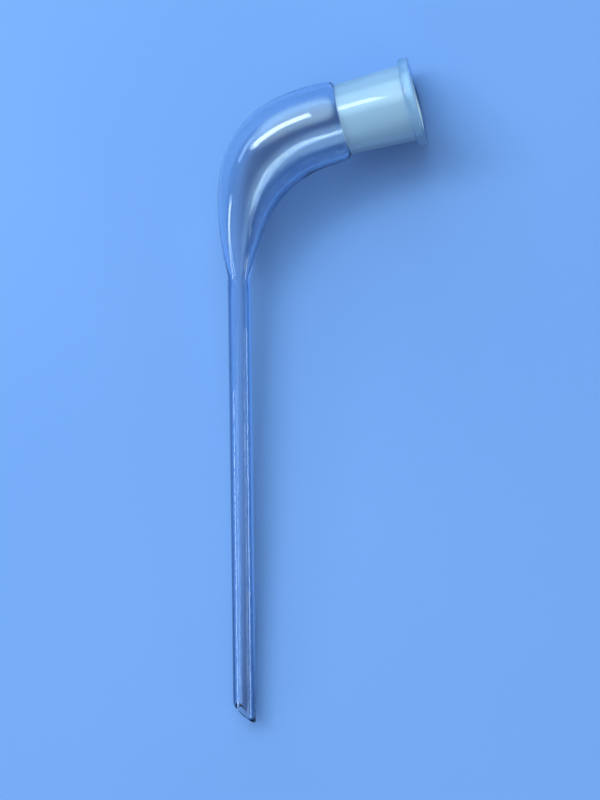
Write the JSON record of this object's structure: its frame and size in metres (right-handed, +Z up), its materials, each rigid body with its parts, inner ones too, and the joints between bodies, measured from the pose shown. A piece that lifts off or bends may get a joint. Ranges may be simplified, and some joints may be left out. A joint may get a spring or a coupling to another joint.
{
  "type": "receiver adapter, bent take-off tube with a ground socket and a long drip stem",
  "caption": "Clear glass receiver adapter: a frosted ground socket with a beaded mouth, a bend that narrows, and a long thick-walled drip stem cut on the slant.",
  "frame": {"origin": "under the middle of the piece, on the surface that it lies on", "axes": "+Y along the stem from its cut tip towards the bend, +X to the side that the socket opens to, +Z up from the surface that the piece lies on"},
  "size_m": [0.0876, 0.2958, 0.037],
  "materials": {
    "glass": "clear and fire-polished, finely ground inside the socket"
  },
  "bodies": {
    "root": {"adapter_body": "glass"}
  },
  "joints": []
}
